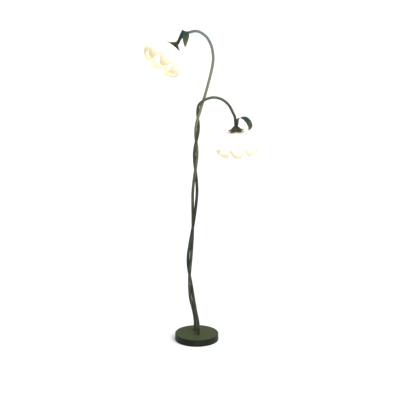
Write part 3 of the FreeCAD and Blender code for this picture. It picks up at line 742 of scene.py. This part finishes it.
def makeCalyx(head, materials):
    sizes = calyxSizes
    around, along, hole = sizes["around"], sizes["along"], sizes["holeRadius"]
    sepal = sizes["tipRadius"] - sizes["cupRadius"]
    columns = []
    for i in range(around):
        angle = 2 * math.pi * i / around
        # 0 on a sepal's middle, 1 between two sepals
        offset = abs((angle * sizes["sepals"] / (2 * math.pi) + 0.5) % 1.0 - 0.5) * 2
        reach = sizes["cupRadius"] + sepal * (1 - offset ** sizes["sepalPower"])
        outer, inner = [], []
        for j in range(along + 1):
            s = j / along
            radius = hole + (reach - hole) * s
            low, high = 0.0, 1.0
            for _ in range(sizes["searchSteps"]):
                middle = (low + high) / 2
                if smoothRow(sizes["outline"], middle)[0] < radius:
                    low = middle
                else:
                    high = middle
            depth = smoothRow(sizes["outline"], low)[1]
            beyond = max(0.0, (radius - sizes["cupRadius"]) / sepal)
            ridge = sizes["ridge"] * beyond * (1 - offset) ** 2
            curl = sizes["curl"] * beyond ** 2
            height = -max(depth, 0.0) + ridge + curl
            outer.append(Vector((radius, height)))
            within = max(radius - sizes["wallSlant"] * sizes["wall"], hole)
            inner.append(Vector((within, height - sizes["wall"])))
        columns.append((angle, outer + inner[::-1]))
    rowCount = len(columns[0][1])
    verts = [(profile[row].x * math.cos(angle) * millimetre,
              profile[row].x * math.sin(angle) * millimetre, profile[row].y * millimetre)
             for row in range(rowCount) for angle, profile in columns]
    piece = meshPiece(head + "Calyx", verts, ringFaces(rowCount, around, True))
    autoSmooth(piece, 40)
    settle(piece, headMatrix(head, headTurns[head]["sepals"]))
    finishPiece(piece, materials["calyxEnamel"], "lamp", "calyx_enamel", head + "_calyx")


def makeStems(materials):
    for head in headTurns:
        tube = sealedCopy(head + "StemTube", head + "_stem")
        autoSmooth(tube, 40)
        finishPiece(tube, materials[head + "StemEnamel"], "lamp", "stem_enamel", head + "_stem")


def makeBase(materials):
    cover = sealedCopy("baseCover", "base_cover")
    autoSmooth(cover, 30)
    finishPiece(cover, materials["baseEnamel"], "lamp", "base_enamel", "base_cover")


# lengths in mm; outlines as radius and height over the calyx top; place is the height of the
# ribs' middle or of a thread's lower end
holderSizes = {
    "cap": [(5.7, -8.0), (11.2, -8.0), (13.8, -11.0), (13.8, -20.0), (12.7, -20.0), (12.7, -11.8),
            (11.0, -9.2), (5.7, -9.2)],
    "barrel": [(12.6, -20.0), (18.2, -20.0), (18.2, -22.2), (13.9, -22.2), (13.9, -58.0),
               (12.6, -58.0)],
    "ring": [(14.3, -26.9), (19.4, -26.9), (19.4, -31.9), (14.3, -31.9)],
    "edge": 0.45,
    "edgeSteps": 3,
    "segments": 96,
    "capRibs": {"Radius": 13.8, "Count": 40, "Rib": 0.38, "Height": 7.6, "place": -15.6},
    "barrelThread": {"Radius": 13.88, "Height": 24.5, "Turns": 10.0, "Depth": 0.3, "place": -57.0},
    "ringRibs": {"Radius": 19.4, "Count": 36, "Rib": 0.85, "Height": 4.4, "place": -29.4},
}
bulbSizes = {
    "edge": 0.3,
    "edgeSteps": 3,
    "capSegments": 64,
    "tipSegments": 48,
    "globeSegments": 96,
    "cap": [(0.0, -34.1), (6.0, -34.1), (6.6, -34.8), (6.6, -52.6), (6.3, -53.1), (0.0, -53.1)],
    "tip": [(0.0, -32.1), (2.6, -32.1), (3.4, -32.7), (4.9, -34.0), (4.9, -34.6), (0.0, -34.6)],
    "thread": {"Radius": 6.6, "Height": 15.0, "Turns": 5.0, "Depth": 0.34, "place": -51.4},
    # glass from its neck to its widest, where the round end begins
    "glass": [(0.0, -53.1), (6.4, -53.1), (6.9, -56.5), (8.2, -61.0), (11.6, -65.6), (16.2, -69.6),
              (20.0, -74.3), (22.0, -79.8), (22.5, -84.6)],
    "glassSteps": 4,
    "globe": 22.5,
    "globeSteps": 20,
}


def sized(values):
    # a group's inputs with lengths in metres, and the height that it is moved up to
    values = {key: value if key in ("Count", "Turns") else value * millimetre
              for key, value in values.items()}
    return values.pop("place"), values


def makeHolder(head, materials, threads, ribs):
    sizes = holderSizes
    black = materials["phenolicBlack"]
    place = headMatrix(head)
    for part, body in (("cap", "lamp"), ("barrel", "lamp"), ("ring", head + "_ring")):
        outline = toMetres(roundedOutline(sizes[part], sizes["edge"], sizes["edgeSteps"]))
        piece = lathe(head + "Holder" + part.title(), outline, sizes["segments"])
        autoSmooth(piece, 40)
        node = head + ("_shade_ring" if part == "ring" else "_holder_" + part)
        finishPiece(settle(piece, place), black, body, "holder_plastic", node)
    for part, tree, body in (("capRibs", ribs, "lamp"), ("ringRibs", ribs, head + "_ring"),
                             ("barrelThread", threads, "lamp")):
        height, values = sized(sizes[part])
        name = head + part[0].upper() + part[1:]
        piece = groupPiece(name, tree, height, Material=black, **values)
        finishPiece(settle(piece, place), black, body, "holder_plastic")


def makeBulb(head, materials, threads):
    sizes = bulbSizes
    place = headMatrix(head)
    body = head + "_bulb"
    aluminium = materials["lampAluminium"]
    edged = roundedOutline(sizes["cap"], sizes["edge"], sizes["edgeSteps"])
    cap = lathe(head + "BulbCap", toMetres(edged), sizes["capSegments"], closed=False)
    autoSmooth(cap, 40)
    finishPiece(settle(cap, place), aluminium, body, "bulb_cap_metal", head + "_bulb_cap")
    tip = lathe(head + "BulbTip", toMetres(sizes["tip"]), sizes["tipSegments"], closed=False)
    autoSmooth(tip, 40)
    finishPiece(settle(tip, place), materials["pressedBrass"], body, "bulb_cap_metal")
    height, values = sized(sizes["thread"])
    thread = groupPiece(head + "BulbThread", threads, height, Material=aluminium, **values)
    finishPiece(settle(thread, place), aluminium, body, "bulb_cap_metal")
    # the glass: its straight neck, the curve out to its widest, then the round end
    glass, radius = sizes["glass"], sizes["globe"]
    outline = glass[:2]
    count = sizes["glassSteps"] * (len(glass) - 2)
    outline += [tuple(smoothRow(glass[1:], i / count)) for i in range(1, count + 1)]
    centre = glass[-1][1]
    for i in range(1, sizes["globeSteps"] + 1):
        angle = math.pi / 2 * i / sizes["globeSteps"]
        outline.append((max(radius * math.cos(angle), 0.0), centre - radius * math.sin(angle)))
    globe = lathe(head + "BulbGlobe", toMetres(outline), sizes["globeSegments"], closed=False)
    autoSmooth(globe, 50)
    finishPiece(settle(globe, place), materials["bulbGlass"], body, "bulb_glass",
                head + "_bulb_globe")


# pieces that keep the frame's own shape and only get a material
plainPieces = {
    "base_ballast": "castIron", "base_plate": "zincSteel", "base_plate_screws": "zincSteel",
    "base_pad": "pressedFelt", "cable_inlet": "epdmBlack", "terminal_block": "nylonWhite",
    "terminal_screws": "pressedBrass",
}
plainHeadPieces = {
    "foot_stud": "zincSteel", "foot_washer": "zincSteel", "foot_nut": "zincSteel",
    "wire": "wireSleeve", "nipple": "zincSteel", "washer": "zincSteel", "nut": "zincSteel",
    "holder_core": "steatite", "contact_sleeve": "pressedBrass", "centre_contact": "pressedBrass",
    "shade_seal": "siliconeWhite", "bulb_filament": "filamentCoat",
}


def finishPlainPieces(materials):
    wanted = dict(plainPieces)
    for head in headTurns:
        wanted.update({head + "_" + part: name for part, name in plainHeadPieces.items()})
    for node, name in wanted.items():
        mesh = nodes[node].data
        mesh.materials.clear()
        mesh.materials.append(materials[name])


# white floor, even light from all round and one wide soft sun; lengths in metres
studio = {
    "floorSize": 60.0,                   # half the floor's width
    "floorColor": "#fbfbfa",
    "cameraPlace": (0.0164, -8.0, 3.0555),
    "cameraPitch": 16.13,                # degrees below the horizon
    "lens": 150.0,                       # mm
    "sensorWidth": 36,                   # mm
    "worldStrength": 0.5,
    "sunStrength": 2.9,
    "sunSpread": 60.0,                   # degrees
    "sunTilt": (30.0, 26.0, 0.0),        # degrees
}


def makeStudio():
    scene = bpy.context.scene
    scene.view_settings.view_transform = "Standard"
    size = studio["floorSize"]
    corners = [(-size, -size, 0), (size, -size, 0), (size, size, 0), (-size, size, 0)]
    floor = meshPiece("floor", corners, [(0, 1, 2, 3)], smooth=False)
    paper = newMaterial("paperSweep", studio["floorColor"], 0.9)[0]
    floor.data.materials.append(paper)
    world = bpy.data.worlds.new("studio")
    scene.world = world
    world.use_nodes = True
    background = world.node_tree.nodes["Background"]
    background.inputs["Color"].default_value = (1, 1, 1, 1)
    background.inputs["Strength"].default_value = studio["worldStrength"]
    sun = bpy.data.lights.new("softbox", "SUN")
    sun.energy = studio["sunStrength"]
    sun.angle = math.radians(studio["sunSpread"])
    lamp = bpy.data.objects.new("softbox", sun)
    lamp.rotation_euler = [math.radians(a) for a in studio["sunTilt"]]
    scene.collection.objects.link(lamp)
    lens = bpy.data.cameras.new("camera")
    lens.lens = studio["lens"]
    lens.sensor_width = studio["sensorWidth"]
    camera = bpy.data.objects.new("camera", lens)
    camera.location = studio["cameraPlace"]
    camera.rotation_euler = (math.radians(90 - studio["cameraPitch"]), 0, 0)
    scene.collection.objects.link(camera)
    scene.camera = camera


makeStudio()
print("studio ready")
materials = makeMaterials()
print("materials ready:", len(materials))
finishPlainPieces(materials)
makeBase(materials)
makeStems(materials)
print("base and stems ready")
threads, ribs = threadGroup(), ribGroup()
for head in headTurns:
    makeHolder(head, materials, threads, ribs)
    makeBulb(head, materials, threads)
    makeShade(head, materials)
    makeLeaf(head, materials)
    makeCalyx(head, materials)
    print(head, "flower head ready")
